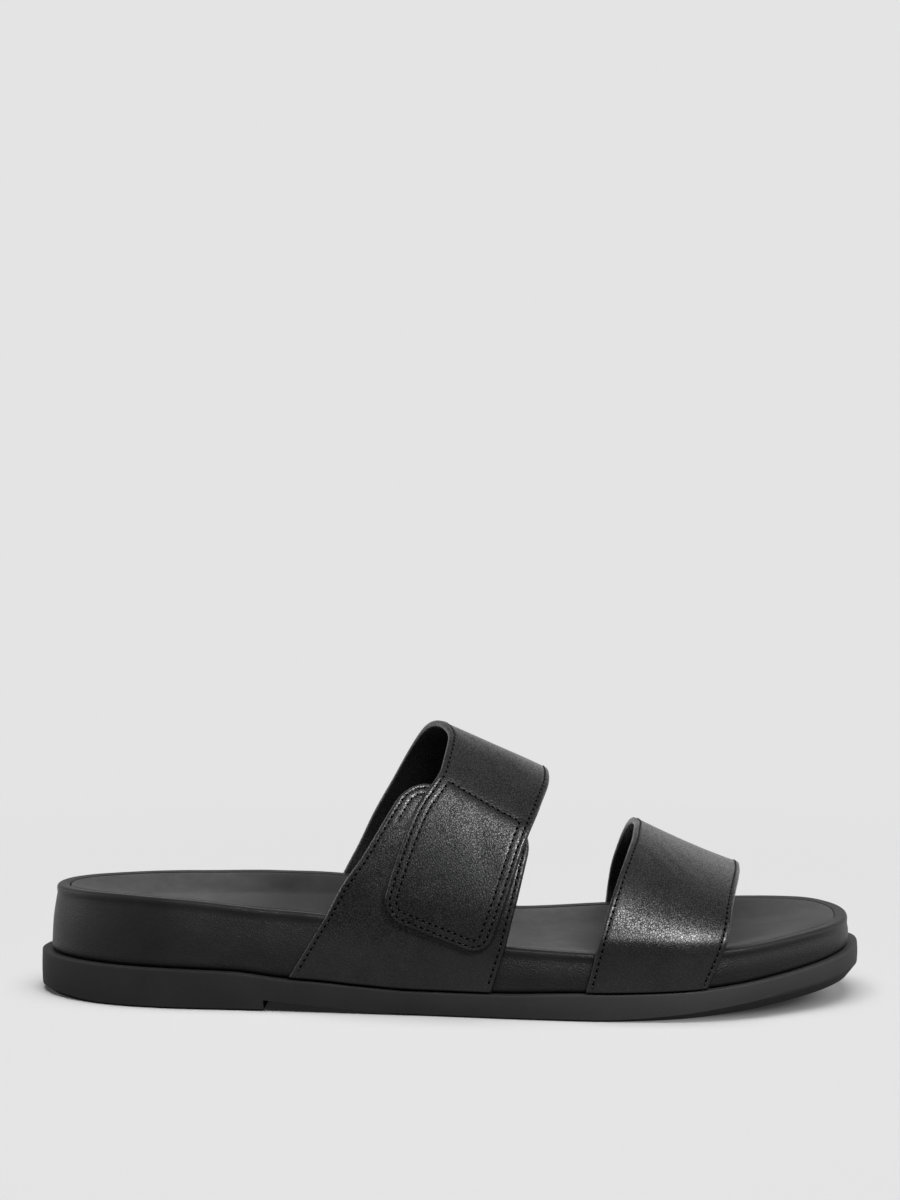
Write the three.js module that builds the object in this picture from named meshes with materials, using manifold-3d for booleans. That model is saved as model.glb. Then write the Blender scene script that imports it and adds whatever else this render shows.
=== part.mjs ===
// A right slide sandal with two leather straps, a contoured footbed and a rubber outsole.
// Lengths are millimetres. +X runs from heel to toe, +Y to the big toe side, +Z up from the floor.
import * as THREE from "three";
import { mergeVertices } from "three/addons/utils/BufferGeometryUtils.js";
import Module from "manifold-3d";

const wasm = await Module();
wasm.setup();

// Plan sizes of the outsole
const soleLength = 265;
const heelWidth = 71;
const waistWidth = 77;
const ballWidth = 97;
const heelRound = 52;
const heelSquareness = 2;
const toeRound = 70;
const toeSquareness = 2.3;

// Heights of the sole
const outsoleThickness = 8.4;
const heelLift = 4;
const heelBreast = 75;
const archDepth = 3.6;
const archMiddle = 0.42;
const archEnd = 122;
const toeSpring = 7;
const springStart = 0.67 * soleLength;
const springPower = 1.9;
const heelHeight = 34.4;
const archRise = 5;
const riseSpread = 0.8;

// Edges of the sole
const ledgeWidth = 3;
const lipRound = 0.5;
const soleEdge = 0.8;
const toeBevelIn = 4;
const toeBevelUp = 2.4;
const toeBevelStart = 0.72 * soleLength;
const toeBevelRun = 0.25 * soleLength;
const heelBevelIn = 2.2;
const heelBevelUp = 1;
const heelBevelRun = 0.09 * soleLength;
const heelTaper = 2;
const toeTaper = 0.3;
const rimRound = 2;
const rimShoulder = 0.3 * rimRound;
const rimWidth = 4;
const rimDrop = 0.2;

// Footbed
const footbedThickness = 2.4;
const dishDepth = 4.8;
const dishBank = 0.5;
const dishShares = [0, 0.07, 0.16, 0.28, 0.44, 0.66];

// Straps
const strapThickness = 2.2;
const tabThickness = 2;
const edgeThickness = 1.3;
const instepHeight = 85;
const crownSide = 2;
const cornerRadius = 7;
const tabTop = { rear: 73, front: 57, width: 40 };
const flapEnd = { rear: 31, front: 18.8, width: 36 };
const flapRise = { from: 0.62, run: 0.25 };
const gap = 0.3;

// How finely the curves are cut into flats
const stationCount = 48;
const strapRows = 34;
const strapColumns = [0, 0.03, 0.08, 0.16, 0.33, 0.5, 0.67, 0.84, 0.92, 0.97, 1];
const wallShare = 0.12;
const normalStep = 0.01;
const searchPasses = 24;
const mergeDistance = 1e-4;

// Breadth of the outsole to each side of the straight axis, as shares of a named width
const breadthRows = [
  { along: 0.0, of: heelWidth, outer: 0.507, inner: 0.521 },
  { along: 0.13, of: heelWidth, outer: 0.507, inner: 0.5 },
  { along: 0.25, of: heelWidth, outer: 0.528, inner: 0.479 },
  { along: 0.36, of: waistWidth, outer: 0.513, inner: 0.435 },
  { along: 0.46, of: waistWidth, outer: 0.545, inner: 0.45 },
  { along: 0.54, of: ballWidth, outer: 0.46, inner: 0.402 },
  { along: 0.62, of: ballWidth, outer: 0.485, inner: 0.46 },
  { along: 0.7, of: ballWidth, outer: 0.5, inner: 0.493 },
  { along: 0.78, of: ballWidth, outer: 0.499, inner: 0.498 },
  { along: 0.86, of: ballWidth, outer: 0.474, inner: 0.503 },
  { along: 0.93, of: ballWidth, outer: 0.423, inner: 0.52 },
  { along: 1.0, of: ballWidth, outer: 0.39, inner: 0.567 },
];

// Outsole from the ground to the ledge: shares of outsoleThickness and of heelLift
const outsoleRows = [
  { along: 0.0, thick: 1.0, lift: 1.12 },
  { along: 0.17, thick: 1.0, lift: 1.0 },
  { along: 0.25, thick: 1.0, lift: 0.87 },
  { along: 0.31, thick: 0.99, lift: 0.45 },
  { along: 0.355, thick: 0.97, lift: 0.32 },
  { along: 0.405, thick: 0.94, lift: 0.12 },
  { along: 0.47, thick: 0.89, lift: 0.0 },
  { along: 0.565, thick: 0.89, lift: 0.0 },
  { along: 0.68, thick: 1.0, lift: 0.0 },
  { along: 0.8, thick: 1.0, lift: 0.0 },
  { along: 1.0, thick: 1.13, lift: 0.0 },
];

// Rim over the ground as a share of heelHeight, what the inner side adds as a share of archRise, and
// the footbed's hollow as a share of dishDepth
const rimRows = [
  { along: 0.0, rim: 0.99, rise: 0.0, dish: 0.9 },
  { along: 0.1, rim: 1.015, rise: -0.3, dish: 1.0 },
  { along: 0.18, rim: 0.994, rise: -0.14, dish: 1.0 },
  { along: 0.28, rim: 0.927, rise: 0.4, dish: 0.9 },
  { along: 0.36, rim: 0.884, rise: 0.56, dish: 0.8 },
  { along: 0.45, rim: 0.775, rise: 0.42, dish: 0.7 },
  { along: 0.575, rim: 0.64, rise: -0.15, dish: 0.6 },
  { along: 0.685, rim: 0.605, rise: 0.15, dish: 0.55 },
  { along: 0.835, rim: 0.581, rise: 0.5, dish: 0.55 },
  { along: 0.93, rim: 0.572, rise: 0.35, dish: 0.55 },
  { along: 1.0, rim: 0.53, rise: 0.0, dish: 0.6 },
];

// Ridge of the foot form under the straps as a share of instepHeight, and how square its section is
const ridgeRows = [
  { along: 0.3, ridge: 1.26, square: 2.1 },
  { along: 0.487, ridge: 1.0, square: 2.1 },
  { along: 0.62, ridge: 0.811, square: 2.1 },
  { along: 0.725, ridge: 0.63, square: 2.1 },
  { along: 0.855, ridge: 0.447, square: 2.2 },
  { along: 0.95, ridge: 0.36, square: 2.2 },
];

// Strap edges as shares of the length. Place runs round the form: -wallShare to 0 up the outer wall,
// 0 to 1 over the foot to the inner rim, and 1 to 1 + wallShare down the inner wall.
const instepEdges = [
  { place: -wallShare, rear: 0.41, front: 0.545 },
  { place: 0, rear: 0.429, front: 0.562 },
  { place: 0.05, rear: 0.436, front: 0.573 },
  { place: 0.1, rear: 0.446, front: 0.583 },
  { place: 0.2, rear: 0.468, front: 0.5985 },
  { place: 0.3, rear: 0.4945, front: 0.612 },
  { place: 0.4, rear: 0.4985, front: 0.619 },
  { place: 0.5, rear: 0.487, front: 0.617 },
  { place: 0.6, rear: 0.471, front: 0.614 },
  { place: 0.7, rear: 0.453, front: 0.608 },
  { place: 0.8, rear: 0.429, front: 0.598 },
  { place: 0.9, rear: 0.397, front: 0.588 },
  { place: 0.95, rear: 0.381, front: 0.58 },
  { place: 1, rear: 0.362, front: 0.572 },
  { place: 1 + wallShare, rear: 0.32, front: 0.555 },
];
const tabEdges = [
  { place: -wallShare, rear: 0.317, front: 0.562 },
  { place: 0, rear: 0.363, front: 0.579 },
  { place: 0.05, rear: 0.383, front: 0.586 },
  { place: 0.1, rear: 0.4065, front: 0.593 },
  { place: 0.2, rear: 0.442, front: 0.604 },
  { place: 0.3, rear: 0.472, front: 0.613 },
  { place: 0.4, rear: 0.49, front: 0.62 },
];
const forefootEdges = [
  { place: -wallShare, rear: 0.673, front: 0.815 },
  { place: 0, rear: 0.685, front: 0.832 },
  { place: 0.1, rear: 0.6965, front: 0.84 },
  { place: 0.2, rear: 0.708, front: 0.844 },
  { place: 0.3, rear: 0.718, front: 0.848 },
  { place: 0.4, rear: 0.724, front: 0.852 },
  { place: 0.5, rear: 0.725, front: 0.854 },
  { place: 0.6, rear: 0.72, front: 0.854 },
  { place: 0.7, rear: 0.7135, front: 0.852 },
  { place: 0.8, rear: 0.705, front: 0.848 },
  { place: 0.9, rear: 0.6955, front: 0.843 },
  { place: 1, rear: 0.69, front: 0.836 },
  { place: 1 + wallShare, rear: 0.682, front: 0.825 },
];

const clamp = (value, low, high) => Math.min(high, Math.max(low, value));
const mix = (a, b, share) => a + (b - a) * share;
const ease = (share) => {
  const s = clamp(share, 0, 1);
  return s * s * (3 - 2 * s);
};

// A smooth curve through points in order of x, with no overshoot between them
function curveThrough(points) {
  const steps = points.slice(1).map(([x, y], i) => (y - points[i][1]) / (x - points[i][0]));
  const slopes = points.map((_, i) => {
    const before = steps[i - 1] ?? steps[i];
    const after = steps[i] ?? steps[i - 1];
    return before * after <= 0 ? 0 : (2 * before * after) / (before + after);
  });
  return (x) => {
    const at = clamp(x, points[0][0], points[points.length - 1][0]);
    const next = points.findIndex(([start]) => start >= at);
    const i = clamp(next - 1, 0, steps.length - 1);
    const [x0, y0] = points[i];
    const [x1, y1] = points[i + 1];
    const share = (at - x0) / (x1 - x0);
    const bend = share * (1 - share) * (x1 - x0);
    return mix(y0, y1, ease(share)) + bend * (slopes[i] * (1 - share) - slopes[i + 1] * share);
  };
}

const alongSole = (rows, valueOf) => curveThrough(rows.map((row) => [row.along * soleLength, valueOf(row)]));

const outerBreadth = alongSole(breadthRows, (row) => row.of * row.outer);
const innerBreadth = alongSole(breadthRows, (row) => row.of * row.inner);
const ledgeOver = alongSole(outsoleRows, (row) => row.thick * outsoleThickness + row.lift * heelLift);
const rimOver = alongSole(rimRows, (row) => row.rim * heelHeight);
const innerRise = alongSole(rimRows, (row) => row.rise * archRise);
const dishAt = alongSole(rimRows, (row) => row.dish * dishDepth);
const ridgeAt = alongSole(ridgeRows, (row) => row.ridge * instepHeight);
const squareAt = alongSole(ridgeRows, (row) => row.square);

// How far the outline has closed at the round ends: 1 between them, 0 at the tips
function endRound(x) {
  const heel = clamp(1 - x / heelRound, 0, 1) ** heelSquareness;
  const toe = clamp(1 - (soleLength - x) / toeRound, 0, 1) ** toeSquareness;
  return (1 - heel) ** (1 / heelSquareness) * (1 - toe) ** (1 / toeSquareness);
}

const axisY = (x) => (innerBreadth(x) - outerBreadth(x)) / 2;
const halfWidth = (x) => (innerBreadth(x) + outerBreadth(x)) / 2;

// The outsole's outline as a ring: heel tip, outer side, toe tip, inner side
function outline() {
  const ring = [];
  for (let i = 0; i < 2 * stationCount; i++) {
    const turn = (Math.PI * i) / stationCount;
    const x = (soleLength * (1 - Math.cos(turn))) / 2;
    const side = i <= stationCount ? -1 : 1;
    ring.push(new THREE.Vector2(x, axisY(x) + side * halfWidth(x) * endRound(x)));
  }
  return ring;
}

const soleRing = outline();

// A ring set in from the outline by a depth that may change along the sole
function insetRing(depthAt) {
  const count = soleRing.length;
  return soleRing.map((point, i) => {
    const ahead = soleRing[(i + 1) % count];
    const behind = soleRing[(i + count - 1) % count];
    const along = ahead.clone().sub(behind).normalize();
    const depth = depthAt(point.x);
    return new THREE.Vector2(point.x - along.y * depth, point.y + along.x * depth);
  });
}

// The same ring drawn towards the middle of the sole by a share
function drawnIn(ring, share) {
  return ring.map((point) => {
    const x = mix(point.x, clamp(point.x, heelRound, soleLength - heelRound), share);
    return new THREE.Vector2(x, axisY(x) + (point.y - axisY(point.x)) * (1 - share));
  });
}

const springRun = (x) => clamp((x - springStart) / (soleLength - springStart), 0, 1);
const springAt = (x) => toeSpring * springRun(x) ** springPower;
const ledgeAt = (x) => springAt(x) + ledgeOver(x);
const towardsToe = (x) => ease((x - toeBevelStart) / toeBevelRun);
const towardsHeel = (x) => 1 - ease(x / heelBevelRun);

// Rim height at a point: the rise counts fully on the inner side and not at all on the outer side
function rimAt(x, y) {
  const inner = ease(0.5 + (y - axisY(x)) / (2 * riseSpread * halfWidth(x)));
  return springAt(x) + rimOver(x) + innerRise(x) * inner;
}

const raised = (ring, heightAt) => ring.map((p) => new THREE.Vector3(p.x, p.y, heightAt(p.x, p.y)));

// A closed solid from rings stacked upwards, its first and last ring closed by strips across the sole
function loftSolid(rings) {
  const count = rings[0].length;
  const points = rings.flat();
  const faces = [];
  for (let k = 0; k + 1 < rings.length; k++) {
    for (let i = 0; i < count; i++) {
      const a = k * count + i;
      const b = k * count + ((i + 1) % count);
      faces.push(a, b, b + count, a, b + count, a + count);
    }
  }
  const half = count / 2;
  const close = (base, up) => {
    for (let i = 0; i < half; i++) {
      const outerA = base + i;
      const outerB = base + i + 1;
      const innerA = base + ((count - i) % count);
      const innerB = base + count - i - 1;
      const quad = [outerA, outerB, innerB, outerA, innerB, innerA];
      for (let t = 0; t < 6; t += 3) {
        const [p, q, r] = quad.slice(t, t + 3);
        if (p !== q && q !== r && p !== r) faces.push(...(up ? [p, q, r] : [r, q, p]));
      }
    }
  };
  close(0, false);
  close((rings.length - 1) * count, true);
  return solidFrom(points, faces);
}

function solidFrom(points, faces) {
  const geometry = new THREE.BufferGeometry().setFromPoints(points).setIndex(faces);
  return manifoldOf(geometry);
}

function manifoldOf(geometry) {
  const bare = geometry.clone();
  bare.deleteAttribute("normal");
  bare.deleteAttribute("uv");
  const merged = mergeVertices(bare, mergeDistance);
  return new wasm.Manifold(
    new wasm.Mesh({
      numProp: 3,
      vertProperties: merged.attributes.position.array,
      triVerts: new Uint32Array(merged.index.array),
    }),
  );
}

function meshOf(name, solid, material) {
  const { vertProperties, triVerts } = solid.getMesh();
  const geometry = new THREE.BufferGeometry();
  geometry.setAttribute("position", new THREE.BufferAttribute(vertProperties, 3));
  geometry.setIndex(new THREE.BufferAttribute(triVerts, 1));
  geometry.computeVertexNormals();
  const mesh = new THREE.Mesh(geometry, material);
  mesh.name = name;
  return mesh;
}

// Rubber outsole with its heel block, arch and bevelled ends
function outsoleSolid() {
  const bevelIn = (x) => soleEdge + (toeBevelIn - soleEdge) * towardsToe(x) + heelBevelIn * towardsHeel(x);
  const bevelUp = (x) => soleEdge + (toeBevelUp - soleEdge) * towardsToe(x) + heelBevelUp * towardsHeel(x);
  const body = loftSolid([
    raised(insetRing(bevelIn), springAt),
    raised(soleRing, (x) => springAt(x) + bevelUp(x)),
    raised(soleRing, (x) => ledgeAt(x) - lipRound),
    raised(insetRing(() => lipRound), ledgeAt),
  ]);
  const below = -1;
  const arch = new THREE.Shape([
    new THREE.Vector2(heelBreast, below),
    new THREE.Vector2(heelBreast, archDepth),
    new THREE.Vector2((heelBreast + archEnd) / 2, archMiddle * archDepth),
    new THREE.Vector2(archEnd, 0),
    new THREE.Vector2(archEnd, below),
  ]);
  const cutter = new THREE.ExtrudeGeometry(arch, { depth: 2 * ballWidth, bevelEnabled: false });
  cutter.rotateX(Math.PI / 2);
  cutter.translate(0, ballWidth, 0);
  return body.subtract(manifoldOf(cutter));
}

const taperAt = (x) => mix(heelTaper, toeTaper, ease(x / soleLength));
const wallInset = (x, share) => ledgeWidth + taperAt(x) * share;
const footbedEdge = (x) => wallInset(x, 1) + rimWidth;

// Rings of the footbed's hollow, lowered by a depth below its top face
function hollowRings(edge, below) {
  return dishShares.map((share) => {
    const sunk = ease(share / dishBank);
    const height = (x, y) => rimAt(x, y) - rimDrop - below - dishAt(x) * sunk;
    return raised(drawnIn(edge, share), height);
  });
}

// Wrapped platform with its rolled rim and the recess that takes the footbed
function midsoleSolid() {
  const wall = (share, more = 0) => insetRing((x) => wallInset(x, share) + more);
  const recess = footbedThickness + gap;
  return loftSolid([
    raised(wall(0, gap), (x) => ledgeAt(x) + gap),
    raised(wall(0), (x) => ledgeAt(x) + 2 * gap),
    raised(wall(1), (x, y) => rimAt(x, y) - rimRound),
    raised(wall(1, rimShoulder), (x, y) => rimAt(x, y) - rimShoulder),
    raised(wall(1, rimRound), rimAt),
    raised(wall(1, rimWidth), (x, y) => rimAt(x, y) - rimDrop),
    ...hollowRings(insetRing(footbedEdge), recess),
  ]);
}

function footbedSolid() {
  const edge = insetRing((x) => footbedEdge(x) + gap);
  return loftSolid([...hollowRings(edge, footbedThickness).reverse(), ...hollowRings(edge, 0)]);
}

// Y of a side of the platform's wall at an X, its inset a share of the way up the wall
const wallRings = [0, 1].map((share) => insetRing((x) => wallInset(x, share)));

function wallY(side, share, x) {
  const ends = wallRings.map((ring) => {
    const start = side < 0 ? 0 : stationCount;
    const run = ring.slice(start, start + stationCount + 1);
    if (side > 0) run.reverse();
    const i = clamp(run.findIndex((p) => p.x >= x), 1, run.length - 1);
    return mix(run[i - 1].y, run[i].y, (x - run[i - 1].x) / (run[i].x - run[i - 1].x));
  });
  return mix(ends[0], ends[1], share);
}

// The foot form at an X and a place round it
function formPoint(x, place) {
  const side = place < 0.5 ? -1 : 1;
  const rimY = wallY(side, 1, x);
  const rim = rimAt(x, rimY);
  const below = Math.max(-place, place - 1) / wallShare;
  if (below > 0) {
    return new THREE.Vector3(x, wallY(side, 1 - below, x), mix(rim, ledgeAt(x) + gap, below));
  }
  const crown = axisY(x) + crownSide;
  const reach = Math.abs(rimY - crown);
  const height = ridgeAt(x) - rim;
  const turn = (0.5 - Math.abs(place - 0.5)) * Math.PI;
  const across = Math.cos(turn);
  const up = Math.sin(turn);
  const power = squareAt(x);
  const grow = (Math.abs(across) ** power + up ** power) ** (-1 / power);
  return new THREE.Vector3(x, crown + side * reach * across * grow, rim + height * up * grow);
}

// A point of the form lifted off it along its normal
function liftedPoint(x, place, lift) {
  const alongX = formPoint(x + 1, place).sub(formPoint(x - 1, place));
  const round = formPoint(x, place + normalStep).sub(formPoint(x, place - normalStep));
  const normal = alongX.cross(round).normalize();
  return formPoint(x, place).addScaledVector(normal, lift);
}

const edgeCurve = (rows, name) => curveThrough(rows.map((row) => [row.place, row[name] * soleLength]));

// The place where a strap's line first reaches a height above the outer wall's foot
function placeAtHeight(lineX, height) {
  let low = -wallShare;
  let high = 0.5;
  for (let pass = 0; pass < searchPasses; pass++) {
    const middle = (low + high) / 2;
    if (formPoint(lineX(middle), middle).z < height) low = middle;
    else high = middle;
  }
  return low;
}

// Extra height that rounds both corners of a strap's free end
function cornerRise(across, width) {
  const inside = clamp(Math.min(across, 1 - across) * width, 0, cornerRadius);
  return cornerRadius - Math.sqrt(cornerRadius ** 2 - (cornerRadius - inside) ** 2);
}

// A strap as a wall between two lifted copies of its patch of the form, thinner along its free edges
function strapSolid(strap) {
  const rear = edgeCurve(strap.edges, "rear");
  const front = edgeCurve(strap.edges, "front");
  const grid = (outer) =>
    strapColumns.map((across, j) => {
      const lineX = (place) => mix(rear(place), front(place), across);
      const start = strap.startAt(across, lineX);
      const end = strap.endAt(across, lineX);
      return Array.from({ length: strapRows + 1 }, (_, i) => {
        const place = mix(start, end, i / strapRows);
        const side = j === 0 || j === strapColumns.length - 1;
        const free = (strap.freeStart && i === 0) || (strap.freeEnd && i === strapRows);
        const pinch = side || free ? (strap.thickness - edgeThickness) / 2 : 0;
        const lift = strap.liftAt(place) + (outer ? strap.thickness - pinch : pinch);
        return liftedPoint(lineX(place), place, lift);
      });
    });
  const layers = [grid(false), grid(true)];
  const rows = strapRows + 1;
  const at = (layer, j, i) => (layer * strapColumns.length + j) * rows + i;
  const faces = [];
  const quad = (a, b, c, d) => faces.push(a, b, c, a, c, d);
  for (let j = 0; j + 1 < strapColumns.length; j++) {
    for (let i = 0; i + 1 < rows; i++) {
      quad(at(1, j, i), at(1, j + 1, i), at(1, j + 1, i + 1), at(1, j, i + 1));
      quad(at(0, j, i), at(0, j, i + 1), at(0, j + 1, i + 1), at(0, j + 1, i));
    }
    quad(at(0, j, 0), at(0, j + 1, 0), at(1, j + 1, 0), at(1, j, 0));
    quad(at(1, j, rows - 1), at(1, j + 1, rows - 1), at(0, j + 1, rows - 1), at(0, j, rows - 1));
  }
  for (let i = 0; i + 1 < rows; i++) {
    const last = strapColumns.length - 1;
    quad(at(0, 0, i), at(1, 0, i), at(1, 0, i + 1), at(0, 0, i + 1));
    quad(at(1, last, i), at(0, last, i), at(0, last, i + 1), at(1, last, i + 1));
  }
  return solidFrom(layers.flat(2), faces);
}

const forefootStrap = {
  edges: forefootEdges,
  thickness: strapThickness,
  startAt: () => -wallShare,
  endAt: () => 1 + wallShare,
  liftAt: () => gap,
};

const closureTab = {
  edges: tabEdges,
  thickness: tabThickness,
  startAt: () => -wallShare,
  endAt: (across, lineX) =>
    placeAtHeight(lineX, mix(tabTop.rear, tabTop.front, across) - cornerRise(across, tabTop.width)),
  liftAt: () => gap,
  freeEnd: true,
};

const instepStrap = {
  edges: instepEdges,
  thickness: strapThickness,
  startAt: (across, lineX) =>
    placeAtHeight(lineX, mix(flapEnd.rear, flapEnd.front, across) + cornerRise(across, flapEnd.width)),
  endAt: () => 1 + wallShare,
  liftAt: (place) => gap + (tabThickness + gap) * ease((flapRise.from - place) / flapRise.run),
  freeStart: true,
};

const rubber = new THREE.MeshStandardMaterial({ color: 0x1b1b1c, roughness: 0.62, metalness: 0 });
const leather = new THREE.MeshStandardMaterial({ color: 0x17171a, roughness: 0.45, metalness: 0 });
const wrap = new THREE.MeshStandardMaterial({ color: 0x161617, roughness: 0.5, metalness: 0 });
const suede = new THREE.MeshStandardMaterial({ color: 0x1f1f20, roughness: 0.75, metalness: 0 });

const sandal = new THREE.Group();
sandal.add(
  meshOf("outsole", outsoleSolid(), rubber),
  meshOf("midsole", midsoleSolid(), wrap),
  meshOf("footbed", footbedSolid(), suede),
  meshOf("forefoot_strap", strapSolid(forefootStrap), leather),
  meshOf("closure_tab", strapSolid(closureTab), leather),
  meshOf("instep_strap", strapSolid(instepStrap), leather),
);
const extent = new THREE.Box3().setFromObject(sandal);
const middle = extent.getCenter(new THREE.Vector3());
sandal.position.set(-middle.x, -middle.y, -extent.min.z);

export default sandal;
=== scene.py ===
import math

import bpy
import numpy as np
from mathutils import Matrix, Vector


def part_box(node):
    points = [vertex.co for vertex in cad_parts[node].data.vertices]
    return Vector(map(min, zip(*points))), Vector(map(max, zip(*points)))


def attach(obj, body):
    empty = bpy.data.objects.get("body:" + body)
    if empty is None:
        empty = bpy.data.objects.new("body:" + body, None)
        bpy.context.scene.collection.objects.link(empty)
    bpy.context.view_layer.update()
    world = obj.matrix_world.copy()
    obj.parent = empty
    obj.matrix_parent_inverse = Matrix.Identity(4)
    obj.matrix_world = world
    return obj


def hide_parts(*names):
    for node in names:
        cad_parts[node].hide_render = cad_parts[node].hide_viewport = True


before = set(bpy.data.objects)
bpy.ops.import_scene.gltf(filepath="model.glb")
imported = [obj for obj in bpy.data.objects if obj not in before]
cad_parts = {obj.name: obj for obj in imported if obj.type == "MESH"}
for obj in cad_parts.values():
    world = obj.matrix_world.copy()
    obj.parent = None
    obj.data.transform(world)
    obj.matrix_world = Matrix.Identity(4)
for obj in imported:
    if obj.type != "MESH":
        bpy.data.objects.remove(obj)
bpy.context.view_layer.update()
mm = 0.001

# The last that all pieces are cut on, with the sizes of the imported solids
last = {
    "length": 265, "heelWidth": 71, "waistWidth": 77, "ballWidth": 97,
    "heelRound": 52, "heelSquareness": 2, "toeRound": 70, "toeSquareness": 2.3,
    "outsole": 8.4, "heelLift": 4, "toeSpring": 7, "springStart": 0.67, "springPower": 1.9,
    "heelHeight": 34.4, "archRise": 5, "riseSpread": 0.8, "dish": 4.8, "dishBank": 0.5, "footbed": 2.4,
    "ledge": 3, "heelTaper": 2, "toeTaper": 0.3, "rimWidth": 4, "rimRound": 2, "rimDrop": 0.2,
    "instepHeight": 85, "crownSide": 2, "wallShare": 0.12, "gap": 0.3,
    "stations": 150,
    # along, breadth it follows, outer share, inner share
    "breadth": [
        (0.0, "heelWidth", 0.507, 0.521), (0.13, "heelWidth", 0.507, 0.5),
        (0.25, "heelWidth", 0.528, 0.479), (0.36, "waistWidth", 0.513, 0.435),
        (0.46, "waistWidth", 0.545, 0.45), (0.54, "ballWidth", 0.46, 0.402),
        (0.62, "ballWidth", 0.485, 0.46), (0.7, "ballWidth", 0.5, 0.493),
        (0.78, "ballWidth", 0.499, 0.498), (0.86, "ballWidth", 0.474, 0.503),
        (0.93, "ballWidth", 0.423, 0.52), (1.0, "ballWidth", 0.39, 0.567),
    ],
    # along, share of the outsole's thickness, share of the heel lift
    "ledges": [
        (0.0, 1.0, 1.12), (0.17, 1.0, 1.0), (0.25, 1.0, 0.87), (0.31, 0.99, 0.45), (0.355, 0.97, 0.32),
        (0.405, 0.94, 0.12), (0.47, 0.89, 0.0), (0.565, 0.89, 0.0), (0.68, 1.0, 0.0), (0.8, 1.0, 0.0),
        (1.0, 1.13, 0.0),
    ],
    # along, share of the heel height, of the arch rise, of the dish
    "rims": [
        (0.0, 0.99, 0.0, 0.9), (0.1, 1.015, -0.3, 1.0), (0.18, 0.994, -0.14, 1.0), (0.28, 0.927, 0.4, 0.9),
        (0.36, 0.884, 0.56, 0.8), (0.45, 0.775, 0.42, 0.7), (0.575, 0.64, -0.15, 0.6),
        (0.685, 0.605, 0.15, 0.55), (0.835, 0.581, 0.5, 0.55), (0.93, 0.572, 0.35, 0.55),
        (1.0, 0.53, 0.0, 0.6),
    ],
    # along, share of the instep height, squareness of the section
    "ridges": [
        (0.3, 1.26, 2.1), (0.487, 1.0, 2.1), (0.62, 0.811, 2.1), (0.725, 0.63, 2.1), (0.855, 0.447, 2.2),
        (0.95, 0.36, 2.2),
    ],
}


def mix(a, b, share):
    return a + (b - a) * share


def ease(share):
    s = np.clip(share, 0, 1)
    return s * s * (3 - 2 * s)


def hump(distance, width):
    return np.exp(-((distance / width) ** 2))


def curveThrough(xs, ys):
    xs, ys = np.array(xs, float), np.array(ys, float)
    steps = np.diff(ys) / np.diff(xs)
    before, after = np.r_[steps[0], steps], np.r_[steps, steps[-1]]
    agree = before * after > 0
    slopes = np.where(agree, 2 * before * after / np.where(agree, before + after, 1), 0)

    def at(x):
        x = np.clip(x, xs[0], xs[-1])
        i = np.clip(np.searchsorted(xs, x) - 1, 0, len(steps) - 1)
        run = xs[i + 1] - xs[i]
        t = (x - xs[i]) / run
        bend = t * (1 - t) * run
        return mix(ys[i], ys[i + 1], ease(t)) + bend * (slopes[i] * (1 - t) - slopes[i + 1] * t)

    return at


def alongLast(table, valueOf):
    return curveThrough([row[0] * last["length"] for row in table], [valueOf(row) for row in table])


outerBreadth = alongLast(last["breadth"], lambda row: last[row[1]] * row[2])
innerBreadth = alongLast(last["breadth"], lambda row: last[row[1]] * row[3])
ledgeOver = alongLast(last["ledges"], lambda row: row[1] * last["outsole"] + row[2] * last["heelLift"])
rimOver = alongLast(last["rims"], lambda row: row[1] * last["heelHeight"])
innerRise = alongLast(last["rims"], lambda row: row[2] * last["archRise"])
dishAt = alongLast(last["rims"], lambda row: row[3] * last["dish"])
ridgeAt = alongLast(last["ridges"], lambda row: row[1] * last["instepHeight"])
squareAt = alongLast(last["ridges"], lambda row: row[2])


def axisY(x):
    return (innerBreadth(x) - outerBreadth(x)) / 2


def halfWidth(x):
    return (innerBreadth(x) + outerBreadth(x)) / 2


def endRound(x):
    heel = np.clip(1 - x / last["heelRound"], 0, 1) ** last["heelSquareness"]
    toe = np.clip(1 - (last["length"] - x) / last["toeRound"], 0, 1) ** last["toeSquareness"]
    return (1 - heel) ** (1 / last["heelSquareness"]) * (1 - toe) ** (1 / last["toeSquareness"])


def soleOutline():  # heel tip, outer side, toe tip, inner side
    turn = np.pi * np.arange(2 * last["stations"]) / last["stations"]
    x = last["length"] * (1 - np.cos(turn)) / 2
    side = np.where(turn <= np.pi, -1, 1)
    return np.stack([x, axisY(x) + side * halfWidth(x) * endRound(x)], 1)


soleRing = soleOutline()
origin = np.array(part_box("outsole")[0]) - np.array([0, soleRing[:, 1].min() * mm, 0])


def springAt(x):
    start = last["springStart"] * last["length"]
    return last["toeSpring"] * np.clip((x - start) / (last["length"] - start), 0, 1) ** last["springPower"]


def ledgeAt(x):
    return springAt(x) + ledgeOver(x)


def rimAt(x, y):
    inner = ease(0.5 + (y - axisY(x)) / (2 * last["riseSpread"] * halfWidth(x)))
    return springAt(x) + rimOver(x) + innerRise(x) * inner


def insetRing(depth):
    along = np.roll(soleRing, -1, 0) - np.roll(soleRing, 1, 0)
    along /= np.linalg.norm(along, axis=1)[:, None]
    into = np.stack([-along[:, 1], along[:, 0]], 1)
    return soleRing + into * np.reshape(depth, (-1, 1))


def drawnIn(ring, share):  # the ring drawn towards the middle line of the sole, where its two sides meet
    even = (ring[:, 0] + np.roll(ring[::-1, 0], 1)) / 2
    x = mix(ring[:, 0], np.clip(even, last["heelRound"], last["length"] - last["heelRound"]), share)
    return np.stack([x, axisY(x) + (ring[:, 1] - axisY(ring[:, 0])) * (1 - share)], 1)


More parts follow.
